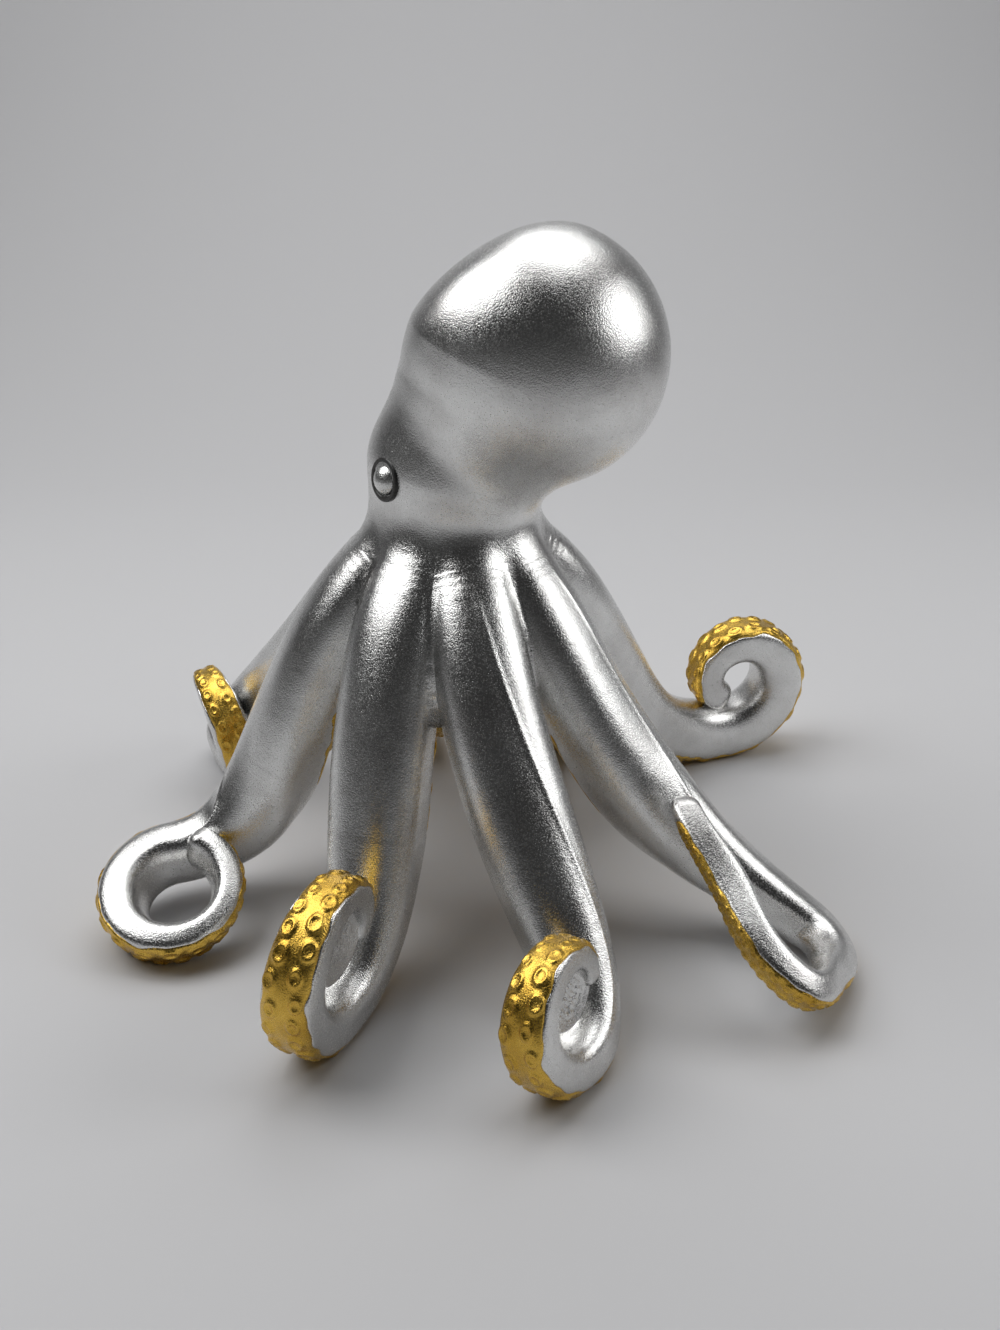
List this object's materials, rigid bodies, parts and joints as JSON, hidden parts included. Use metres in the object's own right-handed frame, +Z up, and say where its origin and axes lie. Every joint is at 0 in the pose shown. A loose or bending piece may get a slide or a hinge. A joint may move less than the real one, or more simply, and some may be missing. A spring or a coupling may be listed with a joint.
{
  "type": "octopus figurine",
  "caption": "Free-standing octopus ornament: a round mantle leaning back over a face with ringed eyes, on splayed arms that end in curls with a gilded sucker side.",
  "frame": {"origin": "centre of the overall box, on the plane the figurine stands on", "axes": "+Z up; the picture looks along +Y, so -Y is towards the camera and +X is to the right; the face points to -X"},
  "size_m": [0.2639, 0.276, 0.2295],
  "materials": {
    "silver_leaf": "cast resin covered in silver leaf, finely grained and semi-gloss",
    "gold_leaf": "cast resin covered in gold leaf, carved with ring suckers, semi-gloss",
    "eye_black": "black painted, glossy",
    "eye_silver": "silver painted, glossy",
    "core_resin": "bare cast resin, matte",
    "pin_steel": "plain steel rod"
  },
  "bodies": {
    "root": {"mantle": "silver_leaf", "core": "core_resin", "arm_pins": "pin_steel", "arm_right_rear": "silver_leaf", "arm_rear_right": "silver_leaf", "arm_rear_left": "silver_leaf", "arm_left_rear": "silver_leaf", "arm_left_front": "silver_leaf", "arm_front_left": "silver_leaf", "arm_front_right": "silver_leaf", "arm_right_front": "silver_leaf", "sucker_strip_right_rear": "gold_leaf", "sucker_strip_rear_right": "gold_leaf", "sucker_strip_rear_left": "gold_leaf", "sucker_strip_left_rear": "gold_leaf", "sucker_strip_left_front": "gold_leaf", "sucker_strip_front_left": "gold_leaf", "sucker_strip_front_right": "gold_leaf", "sucker_strip_right_front": "gold_leaf", "eye_rim_far": "eye_black", "eye_dome_far": "eye_silver", "eye_rim_near": "eye_black", "eye_dome_near": "eye_silver"}
  },
  "joints": []
}
